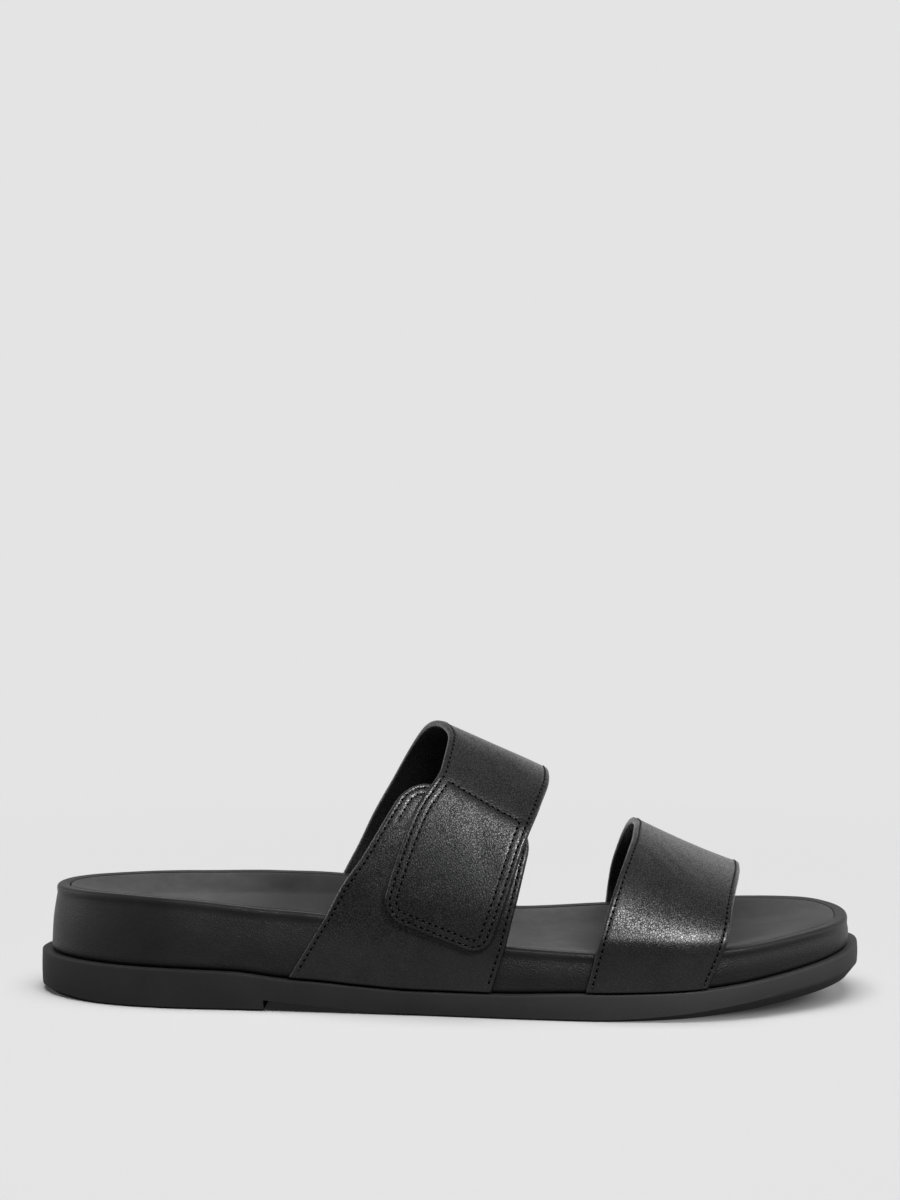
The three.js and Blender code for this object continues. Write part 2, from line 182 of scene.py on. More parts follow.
def wallInset(x, share):
    taper = mix(last["heelTaper"], last["toeTaper"], ease(x / last["length"]))
    return last["ledge"] + taper * share


def raised(ring, height):
    return np.column_stack([ring, np.broadcast_to(height, len(ring))])


# Modelling helpers
def pick(*pieces):  # select these, with the first one active
    bpy.ops.object.select_all(action="DESELECT")
    for piece in pieces:
        piece.select_set(True)
    bpy.context.view_layer.objects.active = pieces[0]


def addGrid(name, columns, rows):
    bpy.ops.mesh.primitive_grid_add(x_subdivisions=columns, y_subdivisions=rows, size=1, calc_uvs=True)
    piece = bpy.context.object
    piece.name = piece.data.name = name
    flat = np.empty(len(piece.data.vertices) * 3, np.float32)
    piece.data.vertices.foreach_get("co", flat)
    shares = flat.reshape(-1, 3)[:, :2].astype(float) + 0.5
    return piece, shares[:, 0], shares[:, 1]


def finishSkin(piece, points, weld=2e-6):
    piece.data.vertices.foreach_set("co", (points * mm + origin).astype(np.float32).ravel())
    bpy.ops.object.mode_set(mode="EDIT")
    bpy.ops.mesh.select_all(action="SELECT")
    bpy.ops.mesh.remove_doubles(threshold=weld)
    bpy.ops.mesh.normals_make_consistent(inside=False)
    bpy.ops.object.mode_set(mode="OBJECT")
    bpy.ops.object.shade_smooth()
    return piece


def ringSkin(name, rings):  # a closed skin through rings that run round the sole
    rings = np.array(rings)
    columns, rows = rings.shape[1], rings.shape[0] - 1
    piece, u, v = addGrid(name, columns, rows)
    i = np.rint(u * columns).astype(int) % columns
    return finishSkin(piece, rings[np.rint(v * rows).astype(int), i])


def dress(piece, node, slot, *materials):
    piece.data.materials.clear()
    for material in materials:
        piece.data.materials.append(material)
    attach(piece, "root")
    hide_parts(node)
    print("made", piece.name, len(piece.data.polygons), "faces")


# Shader maths: a socket that takes part in sums, and one method for any node
class Signal:
    def __init__(self, finish, socket):
        self.finish, self.socket = finish, socket

    def __add__(self, other):
        return self.finish.maths("ADD", self, other)

    def __radd__(self, other):
        return self.finish.maths("ADD", other, self)

    def __sub__(self, other):
        return self.finish.maths("SUBTRACT", self, other)

    def __rsub__(self, other):
        return self.finish.maths("SUBTRACT", other, self)

    def __mul__(self, other):
        return self.finish.maths("MULTIPLY", self, other)

    def __rmul__(self, other):
        return self.finish.maths("MULTIPLY", other, self)

    def __truediv__(self, other):
        return self.finish.maths("DIVIDE", self, other)

    def __pow__(self, other):
        return self.finish.maths("POWER", self, other)


class Finish:
    def __init__(self, name, world=None):
        self.material = world or bpy.data.materials.new(name)
        self.material.use_nodes = True
        self.tree = self.material.node_tree
        self.tree.nodes.clear()

    def add(self, kind, settings=None, inputs=None, out=0):
        node = self.tree.nodes.new(kind)
        for key, value in (settings or {}).items():
            if key == "stops":
                for extra in value[2:]:
                    node.color_ramp.elements.new(extra[0])
                for element, (place, tone) in zip(node.color_ramp.elements, value):
                    element.position, element.color = place, grey(tone)
            else:
                setattr(node, key, value)
        for key, value in (inputs or {}).items():
            if isinstance(value, Signal):
                self.tree.links.new(value.socket, node.inputs[key])
            else:
                node.inputs[key].default_value = value
        return Signal(self, node.outputs[out]) if node.outputs else None

    def maths(self, operation, a, b):
        return self.add("ShaderNodeMath", {"operation": operation}, {0: a, 1: b})

    def between(self, low, high, value):  # 0 below low, 1 above high
        settings = {"interpolation_type": "SMOOTHSTEP"}
        return self.add("ShaderNodeMapRange", settings, {"Value": value, "From Min": low, "From Max": high})

    def blend(self, share, a, b):
        inputs = {0: share, 6: a, 7: b}
        return self.add("ShaderNodeMix", {"data_type": "RGBA"}, inputs, out=2)

    def shade(self, share, tones):  # between two greys
        return self.blend(share, grey(tones[0]), grey(tones[1]))

    def place(self):
        return self.add("ShaderNodeTexCoord", out=3)

    def noise(self, vector, scale, detail=3, roughness=0.55, out=0):
        inputs = {"Vector": vector, "Scale": scale, "Detail": detail, "Roughness": roughness}
        return self.add("ShaderNodeTexNoise", {}, inputs, out)

    def axis(self, vector, which):
        return self.add("ShaderNodeSeparateXYZ", {}, {0: vector}, which)

    def cells(self, vector, scale):  # how far a point is from the edge of its cell
        inputs = {"Vector": vector, "Scale": scale}
        return self.add("ShaderNodeTexVoronoi", {"feature": "DISTANCE_TO_EDGE"}, inputs)

    def bump(self, height, distance, strength=1.0, under=None):
        inputs = {"Height": height, "Distance": distance, "Strength": strength}
        if under:
            inputs["Normal"] = under
        return self.add("ShaderNodeBump", {}, inputs)

    def surface(self, inputs):
        shader = self.add("ShaderNodeBsdfPrincipled", {}, inputs)
        self.add("ShaderNodeOutputMaterial", {}, {"Surface": shader})
        return self.material


def grey(value):
    return (value, value, value, 1)


# A noise is given as scale, detail and roughness, a relief as depth and strength, tones as dark and light
strapLook = {
    "cell": 1500, "dome": 0.32, "stirCell": 0.6, "stir": 0.0002, "creaseCell": 0.3, "crease": 0.12,
    "fineCell": 3.2, "grainShares": (0.6, 0.2, 0.2), "relief": (0.00009, 0.8),
    "wrinkle": (150, 3), "wrinkleDepth": 0.0002,
    "drift": (60, 4), "driftRange": (0.35, 0.65), "tones": (0.005, 0.0085),
    "rough": 0.28, "driftRough": 0.12, "grainRough": 0.1, "specular": 0.22,
    # the coat shines on the tops of the grain, and less unevenly close to the floor
    "coat": 1.0, "coatRough": 0.34, "coatIor": 1.6, "pulledCoat": 0.6,
    "topCell": 0.85, "topRange": (0.02, 0.3), "highRange": (0.016, 0.032), "lowContrast": 0.25,
}
wrapLook = {
    **strapLook, "cell": 1350, "wrinkleDepth": 0.00006, "tones": (0.006, 0.009),
    "rough": 0.4, "specular": 0.3, "coat": 0.0,
}


def leatherFinish(name, look):
    f = Finish(name)
    at = f.place()
    drift = f.noise(at, *look["drift"])
    stir = {0: f.noise(at, look["cell"] * look["stirCell"], 2, out=1), 3: look["stir"]}
    shove = f.add("ShaderNodeVectorMath", {"operation": "SCALE"}, stir)
    bent = f.add("ShaderNodeVectorMath", {"operation": "ADD"}, {0: at, 1: shove})
    pebbles = f.between(0.0, look["dome"], f.cells(bent, look["cell"]))
    creases = f.between(0.0, look["crease"], f.cells(bent, look["cell"] * look["creaseCell"]))
    fine = f.noise(at, look["cell"] * look["fineCell"], 3)
    pebbleShare, creaseShare, fineShare = look["grainShares"]
    grain = pebbles * pebbleShare + creases * creaseShare + fine * fineShare
    tone = f.shade(f.between(*look["driftRange"], drift), look["tones"])
    rough = look["rough"] + (drift - 0.5) * look["driftRough"] + (1 - grain) * look["grainRough"]
    tops = f.between(*look["topRange"], f.cells(bent, look["cell"] * look["topCell"]))
    contrast = f.between(*look["highRange"], f.axis(at, 2)) * (1 - look["lowContrast"]) + look["lowContrast"]
    gloss = ((tops - look["pulledCoat"]) * contrast + look["pulledCoat"]) * look["coat"]
    relief = f.bump(grain, *look["relief"])
    wide = f.bump(f.noise(at, *look["wrinkle"]), look["wrinkleDepth"], 1.0, relief)
    return f.surface({
        "Base Color": tone, "Roughness": rough, "Normal": wide, "Specular IOR Level": look["specular"],
        "Coat Weight": gloss, "Coat Roughness": look["coatRough"], "Coat IOR": look["coatIor"],
    })


rubberLook = {
    "drift": (35, 4), "driftRange": (0.3, 0.7), "driftShare": 0.25, "toeRange": (-0.04, 0.12),
    "tones": (0.012, 0.032), "rough": 0.62, "driftRough": 0.15, "specular": 0.25,
    "tooth": (3500, 2), "relief": (0.00008, 0.6),
}


def rubberFinish(name, look):  # painted light: lighter towards the toe, with a random dusty drift
    f = Finish(name)
    at = f.place()
    drift = f.noise(at, *look["drift"])
    tooth = f.noise(at, *look["tooth"])
    # painted light: the rubber is made lighter towards the toe, where it catches more light
    paintedToeLight = f.between(*look["toeRange"], f.axis(at, 0))
    dustAndToeLight = f.between(*look["driftRange"], drift) * look["driftShare"] + paintedToeLight * (1 - look["driftShare"])
    return f.surface({
        "Base Color": f.shade(dustAndToeLight, look["tones"]),
        "Roughness": look["rough"] + (drift - 0.5) * look["driftRough"],
        "Normal": f.bump(tooth, *look["relief"]), "Specular IOR Level": look["specular"],
    })


nubuckLook = {
    "cloud": (45, 5, 0.65), "rub": (260, 4, 0.6), "cloudShare": 0.6, "wornRange": (0.3, 0.75),
    "tones": (0.05, 0.088), "rough": 0.85, "specular": 0.15, "sheen": 0.1, "sheenRough": 0.5,
    "nap": (4200, 2), "napShare": 0.6, "relief": (0.0002, 0.7),
    # share of the length, how much the cover is painted darker where the straps shade it and lighter where
    # more light falls on it
    "paintedShadeAndLight": [
        (0.0, 0.42), (0.12, 0.72), (0.2, 0.68), (0.3, 0.2), (0.42, 0.3), (0.55, 1.0),
        (0.62, 0.98), (0.7, 0.6), (0.87, 0.4), (0.95, 0.55), (1.0, 1.0),
    ],
}


def nubuckFinish(name, look):
    f = Finish(name)
    at = f.place()
    cloud = f.noise(at, *look["cloud"])
    rub = f.noise(at, *look["rub"])
    nap = f.noise(at, *look["nap"])
    worn = f.between(*look["wornRange"], cloud * look["cloudShare"] + rub * (1 - look["cloudShare"]))
    even = f.shade(worn, look["tones"])
    along = f.axis(at, 0) * (1 / (last["length"] * mm)) + 0.5
    # painted shade and painted light along the length, multiplied into the cover's colour
    paintedShadeAndLight = f.add("ShaderNodeValToRGB", {"stops": look["paintedShadeAndLight"]}, {0: along})
    settings = {"data_type": "RGBA", "blend_type": "MULTIPLY"}
    tone = f.add("ShaderNodeMix", settings, {0: 1.0, 6: even, 7: paintedShadeAndLight}, out=2)
    pile = nap * look["napShare"] + rub * (1 - look["napShare"])
    return f.surface({
        "Base Color": tone, "Roughness": look["rough"], "Normal": f.bump(pile, *look["relief"]),
        "Specular IOR Level": look["specular"], "Sheen Weight": look["sheen"],
        "Sheen Roughness": look["sheenRough"],
    })


threadLook = {
    "noise": (5000, 2), "tones": (0.003, 0.007), "rough": 0.45, "specular": 0.3,
    "relief": (0.00006, 0.5),
}
# painted shade: the needle-hole finish is black and does not shine, standing for the shade inside each hole
holeShadeLook = {"noise": (3000, 2), "tones": (0.0005, 0.0015), "rough": 1.0, "specular": 0.0}
liningLook = {
    "noise": (900, 4), "tones": (0.005, 0.01), "rough": 0.8, "specular": 0.25,
    "relief": (0.00015, 0.5),
}


def plainFinish(name, look):
    f = Finish(name)
    spots = f.noise(f.place(), *look["noise"])
    inputs = {
        "Base Color": f.shade(spots, look["tones"]),
        "Roughness": look["rough"], "Specular IOR Level": look["specular"],
    }
    if "relief" in look:
        inputs["Normal"] = f.bump(spots, *look["relief"])
    return f.surface(inputs)


strapLeather = leatherFinish("strap_leather", strapLook)
platformWrap = leatherFinish("platform_wrap", wrapLook)
matteRubber = rubberFinish("matte_rubber", rubberLook)
footbedNubuck = nubuckFinish("footbed_nubuck", nubuckLook)
waxedThread = plainFinish("waxed_thread", threadLook)
paintedHoleShade = plainFinish("needle_hole_painted_shade", holeShadeLook)
strapLining = plainFinish("strap_lining", liningLook)
print("finishes ready")

# Outsole
outsole = {
    "edge": 0.6, "lip": 0.28, "bulge": 0.15,
    "underSteps": 12, "bevelSteps": 5, "wallSteps": 10, "lipSteps": 5, "topSteps": 9,
    # how far in from the edge, how deep: the groove in the ledge at the foot of the platform
    "groove": [(1.6, 0.0), (2.4, 0.03), (2.9, 0.1), (3.3, 0.13), (4.6, 0.13)],
    "toeBevelIn": 2.9, "toeBevelUp": 3.3, "toeBevelStart": 0.68, "toeBevelRun": 0.25,
    "heelBevelIn": 2.2, "heelBevelUp": 1.4, "heelBevelRun": 0.09,
    "breast": 76.2, "archEnd": 122, "archDepth": 3.6, "archMiddle": 0.42,
    "archAcross": 200, "smoothAngle": 35,
}


def outsoleRings():
    x = soleRing[:, 0]
    toe = ease((x - outsole["toeBevelStart"] * last["length"]) / (outsole["toeBevelRun"] * last["length"]))
    heel = 1 - ease(x / (outsole["heelBevelRun"] * last["length"]))
    bevelIn = mix(outsole["edge"], outsole["toeBevelIn"], toe) + outsole["heelBevelIn"] * heel
    bevelUp = mix(outsole["edge"], outsole["toeBevelUp"], toe) + outsole["heelBevelUp"] * heel
    rings = []
    for share in np.linspace(1, 0, outsole["underSteps"]):
        ring = drawnIn(insetRing(bevelIn), share)
        rings.append(raised(ring, springAt(ring[:, 0])))
    for share in np.linspace(0, 1, outsole["bevelSteps"])[1:]:
        ring = insetRing(bevelIn * (1 - share))
        rings.append(raised(ring, springAt(ring[:, 0]) + bevelUp * share))
    for share in np.linspace(0, 1, outsole["wallSteps"])[1:]:
        ring = insetRing(outsole["bulge"] * (1 - np.sin(np.pi * share)) - outsole["bulge"])
        top = ledgeAt(ring[:, 0]) - outsole["lip"]
        rings.append(raised(ring, mix(springAt(ring[:, 0]) + bevelUp, top, share)))
    for turn in np.linspace(0, np.pi / 2, outsole["lipSteps"])[1:]:
        ring = insetRing(outsole["lip"] * (1 - np.cos(turn)))
        rings.append(raised(ring, ledgeAt(ring[:, 0]) - outsole["lip"] * (1 - np.sin(turn))))
    for inset, depth in outsole["groove"]:
        ring = insetRing(inset)
        rings.append(raised(ring, ledgeAt(ring[:, 0]) - depth))
    for share in np.linspace(0, 1, outsole["topSteps"])[1:]:
        ring = drawnIn(insetRing(inset), share)
        rings.append(raised(ring, ledgeAt(ring[:, 0]) - depth))
    return rings


def cutArch(piece):
    run = outsole["archEnd"] - outsole["breast"]
    middle = np.array([outsole["breast"] + run / 2, 0, 0]) * mm + origin
    size = np.array([run, outsole["archAcross"], 2 * outsole["archDepth"]]) * mm
    bpy.ops.mesh.primitive_cube_add(size=1, location=middle, scale=size)
    cutter = bpy.context.object
    bpy.ops.object.transform_apply(location=True, scale=True)
    bpy.ops.object.mode_set(mode="EDIT")
    bpy.ops.mesh.select_all(action="SELECT")
    bpy.ops.mesh.bisect(plane_co=middle, plane_no=(1, 0, 0))
    bpy.ops.object.mode_set(mode="OBJECT")
    for vertex in cutter.data.vertices:
        share = (vertex.co.x - middle[0]) / (run * mm) + 0.5
        if vertex.co.z > 0:
            lift = np.interp(share, [0, 0.5, 1], [1, outsole["archMiddle"], 0])
            vertex.co.z = outsole["archDepth"] * mm * lift
    pick(piece)
    cut = piece.modifiers.new("arch", "BOOLEAN")
    cut.operation, cut.object, cut.solver = "DIFFERENCE", cutter, "EXACT"
    bpy.ops.object.modifier_apply(modifier=cut.name)
    bpy.data.objects.remove(cutter)
    bpy.ops.object.shade_smooth_by_angle(angle=math.radians(outsole["smoothAngle"]))


soleUnder = ringSkin("rubber_outsole", outsoleRings())
cutArch(soleUnder)
dress(soleUnder, "outsole", "outsole_rubber", matteRubber)

# Platform wrapped in leather
platform = {
    "underShares": (1, 0.6, 0.25, 0.1), "wallSteps": 34, "wallCrowd": 1.5,
    "tuck": 0.5, "tuckRun": 0.09, "puff": 0.3,
    "rimRound": 1.1, "rimSteps": 9, "innerRound": 0.7, "innerSteps": 6,
    "hollowShares": (0, 0.07, 0.16, 0.28, 0.44, 0.66, 1),
    "toeCrease": 0.8, "creaseFrom": 0.7, "creaseRun": 0.15,
    # how far below the rim, how far out: the padded roll with the pulled-in line under it
    "roll": [(0, 0.0), (0.8, 0.06), (1.4, 0.06), (2.4, -0.12), (3.2, -0.18), (5, -0.1), (9, 0.0)],
}
rollAt = curveThrough([row[0] for row in platform["roll"]], [row[1] for row in platform["roll"]])


def rimCrease(x):  # the crease inside the rim, which closes towards the toe
    closing = ease((x / last["length"] - platform["creaseFrom"]) / platform["creaseRun"])
    return 1 - platform["toeCrease"] * closing


def hollowRing(edge, below, share):
    ring = drawnIn(edge, share)
    sunk = dishAt(ring[:, 0]) * ease(share / last["dishBank"])
    return raised(ring, rimAt(ring[:, 0], ring[:, 1]) - last["rimDrop"] - below - sunk)


def platformRings():
    gap, x = last["gap"], soleRing[:, 0]
    rings = []
    for share in platform["underShares"]:
        ring = drawnIn(insetRing(wallInset(x, 0)), share)
        rings.append(raised(ring, ledgeAt(ring[:, 0]) + gap))
    for share in 1 - np.linspace(1, 0, platform["wallSteps"]) ** platform["wallCrowd"]:
        tuck = platform["tuck"] * (1 - ease(share / platform["tuckRun"])) ** 2
        puff = platform["puff"] * np.sin(np.pi * ease(share))
        rough = insetRing(wallInset(x, share))
        foot, top = ledgeAt(rough[:, 0]) + gap, rimAt(rough[:, 0], rough[:, 1]) - platform["rimRound"]
        height = mix(foot, top, share)
        ring = insetRing(wallInset(x, share) + tuck - puff - rollAt(platform["rimRound"] + top - height))
        rings.append(raised(ring, height))
    for turn in np.linspace(0, np.pi / 2, platform["rimSteps"])[1:]:
        drop = platform["rimRound"] * (1 - np.sin(turn))
        ring = insetRing(wallInset(x, 1) + platform["rimRound"] * (1 - np.cos(turn)) - rollAt(drop))
        rings.append(raised(ring, rimAt(ring[:, 0], ring[:, 1]) - drop))
    flatEnd = last["rimWidth"] - platform["innerRound"]
    for turn in np.linspace(0, np.pi / 2, platform["innerSteps"]):
        ring = insetRing(wallInset(x, 1) + flatEnd + platform["innerRound"] * np.sin(turn))
        drop = last["rimDrop"] + platform["innerRound"] * (1 - np.cos(turn)) * rimCrease(ring[:, 0])
        rings.append(raised(ring, rimAt(ring[:, 0], ring[:, 1]) - drop))
    edge = insetRing(wallInset(x, 1) + last["rimWidth"])
    for share in platform["hollowShares"]:
        rings.append(hollowRing(edge, last["footbed"] + gap, share))
    return rings


wrappedPlatform = ringSkin("wrapped_platform", platformRings())
dress(wrappedPlatform, "midsole", "platform_wrap", platformWrap)


# Footbed
footbed = {"underShares": (1, 0.6, 0.3, 0.12, 0.0), "steps": 26, "crowd": 1.4, "edgeRound": 0.8}


def footbedRings():
    edge = insetRing(wallInset(soleRing[:, 0], 1) + last["rimWidth"] + last["gap"])
    under = [hollowRing(edge, last["footbed"], share) for share in footbed["underShares"]]
    top = []
    for share in np.linspace(0, 1, footbed["steps"]) ** footbed["crowd"]:
        ring = hollowRing(edge, 0, share)
        side = np.linalg.norm(ring[:, :2] - edge, axis=1)
        turn = np.clip(1 - side / footbed["edgeRound"], 0, 1)
        ring[:, 2] -= footbed["edgeRound"] * (1 - np.sqrt(1 - turn**2)) * rimCrease(ring[:, 0])
        top.append(ring)
    return under + top


footbedCover = ringSkin("footbed_cover", footbedRings())
dress(footbedCover, "footbed", "footbed_cover", footbedNubuck)


# Straps: a share across runs from the rear edge to the front edge, and place runs round the foot form,
# from the foot of the outer wall over the instep to the foot of the inner wall
wallRings = [insetRing(wallInset(soleRing[:, 0], share)) for share in (0, 1)]


def wallY(side, share, x):
    half = last["stations"]
    sides = []
    for start in (0, half):
        ends = []
        for ring in wallRings:
            run = np.roll(ring, -start, 0)[: half + 1]
            run = run[np.argsort(run[:, 0])]
            ends.append(np.interp(x, run[:, 0], run[:, 1]))
        sides.append(mix(ends[0], ends[1], share))
    return np.where(side < 0, sides[0], sides[1])


def formPoint(x, place):
    side = np.where(place < 0.5, -1, 1)
    rimY = wallY(side, 1, x)
    rim = rimAt(x, rimY)
    below = np.maximum(-place, place - 1) / last["wallShare"]
    down = np.clip(below, 0, None)
    wall = np.stack([x, wallY(side, 1 - down, x), mix(rim, ledgeAt(x) + last["gap"], down)], -1)
    crown = axisY(x) + last["crownSide"]
    turn = np.clip(0.5 - np.abs(place - 0.5), 0, None) * np.pi
    across, up, power = np.cos(turn), np.sin(turn), squareAt(x)
    grow = (np.abs(across) ** power + up**power) ** (-1 / power)
    sideways = crown + side * np.abs(rimY - crown) * across * grow
    over = np.stack([x, sideways, rim + (ridgeAt(x) - rim) * up * grow], -1)
    return np.where(below[..., None] > 0, wall, over)


def formNormal(x, place, step=0.01):
    alongX = formPoint(x + 1, place) - formPoint(x - 1, place)
    around = formPoint(x, place + step) - formPoint(x, place - step)
    normal = np.cross(alongX, around)
    return normal / np.linalg.norm(normal, axis=-1, keepdims=True)


def edgeCurves(strap):
    places = [row[0] for row in strap["edges"]]
    for i, name in ((1, "rear"), (2, "front")):
        strap[name] = curveThrough(places, [row[i] * last["length"] for row in strap["edges"]])
    table = np.linspace(places[0], places[-1], 200)
    edges = [formPoint(strap[name](table), table) for name in ("rear", "front")]
    reach = edges[1] - edges[0]
    width = np.linalg.norm(reach, axis=1)
    for name, edge in zip(("rearWidth", "frontWidth"), edges):
        run = np.gradient(edge, axis=0)
        run /= np.linalg.norm(run, axis=1)[:, None]
        square = np.linalg.norm(np.cross(run, reach / width[:, None]), axis=1)
        strap[name] = lambda place, known=width * square: np.interp(place, table, known)


def lineX(strap, across, place):
    return mix(strap["rear"](place), strap["front"](place), across)


def placeAtHeight(strap, across, height):
    low, high = np.full_like(across, -last["wallShare"]), np.full_like(across, 0.5)
    for _ in range(24):
        middle = (low + high) / 2
        under = formPoint(lineX(strap, across, middle), middle)[..., 2] < height
        low, high = np.where(under, middle, low), np.where(under, high, middle)
    return low


def cornerRise(strap, across):  # how far the rounded corners of a free end draw back
    radius = strap["corner"]
    inside = np.clip(np.minimum(across, 1 - across) * strap["endWidth"], 0, radius)
    return radius - np.sqrt(radius**2 - (radius - inside) ** 2)


def edgeShares(count, crowd=0.75):  # shares across that crowd towards both edges
    q = np.linspace(0, 1, count + 1)
    return q - crowd * np.sin(2 * np.pi * q) / (2 * np.pi)


def cornerDistance(side, end, radius):
    inCorner = (side < radius) & (end < radius)
    curved = radius - np.hypot(radius - side, radius - end)
    return np.where(inCorner, np.clip(curved, 0, None), np.minimum(side, end))


def tent(distance, below, above, soft=1.2):  # 1 on the line, falling away on both sides
    off = np.sqrt(distance**2 + soft**2) - soft
    return np.exp(-off / np.where(distance < 0, below, above))


def pastLine(chart, line):  # mm up each column from a line of places
    places, starts = chart["place"].T, chart["start"].T
    marks = []
    for mark, place, start in zip(np.broadcast_to(line, len(places)), places, starts):
        under = min(mark - place[0], 0) * (start[1] - start[0]) / (place[1] - place[0])
        marks.append(np.interp(mark, place, start) + under)
    return chart["start"] - np.array(marks)


def foldRelief(chart, folds):  # soft creases and ridges, each from one point to another
    relief = np.zeros(chart["place"].shape)
    for x0, y0, x1, y1, depth, width in folds:
        run, rise = x1 - x0, y1 - y0
        reach = math.hypot(run, rise)
        along = ((chart["rear"] - x0) * run + (chart["start"] - y0) * rise) / reach
        aside = ((chart["rear"] - x0) * rise - (chart["start"] - y0) * run) / reach
        beyond = np.maximum(np.maximum(-along, along - reach), 0)
        relief -= depth * hump(aside, width) * hump(beyond, 2.5 * width)
    return relief


def strapSkin(name, strap):
    columns, rows = strap["columns"], strap["rows"]
    piece, u, v = addGrid(name, 2 * columns, rows)
    k = np.rint(u * 2 * columns).astype(int)
    r = np.rint(v * rows).astype(int)
    shares = edgeShares(columns)
    sleeve = np.r_[shares, shares[::-1][1:]]  # over the leather, then back under the lining
    layer = np.r_[np.ones(columns + 1), -np.ones(columns)]
    layer[[0, columns, -1]] = 0
    across = sleeve[None, :].repeat(rows + 1, 0)
    start, end = strap["startAt"](sleeve), strap["endAt"](sleeve)
    steps = strap["spread"](np.linspace(0, 1, rows + 1))
    place = mix(start[None, :], end[None, :], steps[:, None])
    x = lineX(strap, across, place)
    on, normal = formPoint(x, place), formNormal(x, place)
    run = np.linalg.norm(np.diff(on, axis=0), axis=2)
    fromStart = np.vstack([np.zeros(len(sleeve)), np.cumsum(run, 0)])
    chart = {
        "place": place, "across": across, "start": fromStart, "end": fromStart[-1] - fromStart,
        "rear": across * strap["rearWidth"](place), "front": (1 - across) * strap["frontWidth"](place),
    }
    chart["side"] = np.minimum(chart["rear"], chart["front"])
    chart["free"] = strap["freeEnd"](chart)
    chart["edge"] = cornerDistance(chart["side"], chart["free"], strap["corner"])
    turned = np.clip(1 - chart["edge"] / strap["edgeRound"], 0, 1)
    half = strap["thickness"] / 2 * np.sqrt(1 - turned**2)
    middle = strap["liftAt"](chart) + strap["thickness"] / 2
    relief = strap["relief"](chart) * np.clip(chart["edge"] / strap["reliefFade"], 0, 1)
    lift = middle + layer * half + (layer > 0) * relief
    closed = np.zeros(rows + 1, bool)
    closed[[0, -1]] = True
    lift[closed] = middle[closed]
    points = on + normal * lift[..., None]
    strap["sheet"] = {
        "across": sleeve[: columns + 1], "place": place[:, : columns + 1],
        "free": chart["free"][:, : columns + 1], "points": points[:, : columns + 1],
    }
    lined = ((layer < 0) & (chart["edge"] > strap["liningInset"]))[r, k]
    for face in piece.data.polygons:
        face.material_index = int(all(lined[list(face.vertices)]))
    return finishSkin(piece, points[r, k], 1e-5)


wall = last["wallShare"]
gap = last["gap"]
strapMake = {
    "columns": 84, "seam": 1.75, "trough": 0.12, "troughWidth": 0.5, "bendBelow": 8,
    "reliefFade": 0.3, "liningInset": 1.2,
}
instep = {
    **strapMake, "thickness": 2.2, "edgeRound": 1, "rows": 390, "crowd": 1.5,
    "corner": 7, "endRear": 31, "endFront": 18.8, "endWidth": 36, "riseFrom": 0.62, "riseRun": 0.25,
    "innerSeam": 4.0, "crossRear": (0.103, 0.2727), "crossFront": (0.9, 0.239),
    "crossLift": 1.8, "liftBefore": 0.8, "liftBelow": 11, "liftAbove": 6,
    "crossDip": 0.36, "dipWidth": 1.8, "dipInset": 6,
    "bend": 0.055, "bendLift": 1.0, "bendAbove": 9, "bendSoft": 4.5,
    # place, rear edge, front edge
    "edges": [
        (-wall, 0.41, 0.545), (0, 0.429, 0.562), (0.05, 0.436, 0.573), (0.1, 0.446, 0.583),
        (0.2, 0.468, 0.5985), (0.3, 0.4945, 0.612), (0.4, 0.4985, 0.619), (0.5, 0.487, 0.617),
        (0.6, 0.471, 0.614), (0.7, 0.453, 0.608), (0.8, 0.429, 0.598), (0.9, 0.397, 0.588),
        (0.95, 0.381, 0.58), (1, 0.362, 0.572), (1 + wall, 0.32, 0.555),
    ],
    # from and to (mm from the rear edge, mm from the flap's end), depth, width
    "folds": [
        (8, 66, 24, 58, 0.08, 2.4), (16, 78, 30, 74, 0.08, 3),
        (4, 9, 14, 16, 0.1, 2.5), (24, 30, 33, 22, 0.1, 3),
    ],
}


def rimBends(strap, chart):  # where the strap turns in over the rim, on both sides
    sizes = strap["bendBelow"], strap["bendAbove"], strap["bendSoft"]
    bends = tent(pastLine(chart, strap["bend"]), *sizes)
    if chart["place"].max() > 1:
        bends += tent(-pastLine(chart, 1 - strap["bend"]), *sizes)
    return strap["bendLift"] * bends


def crossLine(across):
    (a0, p0), (a1, p1) = instep["crossRear"], instep["crossFront"]
    return mix(p0, p1, (across - a0) / (a1 - a0))


def instepLift(chart):
    on = gap + (tab["thickness"] + gap) * ease((instep["riseFrom"] - chart["place"]) / instep["riseRun"])
    past = pastLine(chart, crossLine(chart["across"][0])) + instep["liftBefore"]
    flap = instep["crossLift"] * tent(past, instep["liftBelow"], instep["liftAbove"])
    return on + flap + rimBends(instep, chart)


def instepRelief(chart):
    past = pastLine(chart, crossLine(chart["across"][0]))
    stitched = (chart["across"] > instep["crossRear"][0]) & (chart["across"] < instep["crossFront"][0])
    rows = hump(chart["edge"] - instep["seam"], instep["troughWidth"])
    rows += hump(chart["edge"] - instep["innerSeam"], instep["troughWidth"]) * (past < 0)
    rows += hump(past, instep["troughWidth"]) * stitched
    pulled = instep["crossDip"] * hump(past, instep["dipWidth"]) * ease(chart["side"] / instep["dipInset"])
    return foldRelief(chart, instep["folds"]) - instep["trough"] * np.minimum(rows, 1) - pulled


instep["startAt"] = lambda across: placeAtHeight(
    instep, across, mix(instep["endRear"], instep["endFront"], across) + cornerRise(instep, across)
)
instep["endAt"] = lambda across: np.full_like(across, 1 + wall)
instep["spread"] = lambda share: share ** instep["crowd"]
instep["freeEnd"] = lambda chart: chart["start"] + cornerRise(instep, chart["across"])
instep["liftAt"] = instepLift
instep["relief"] = instepRelief

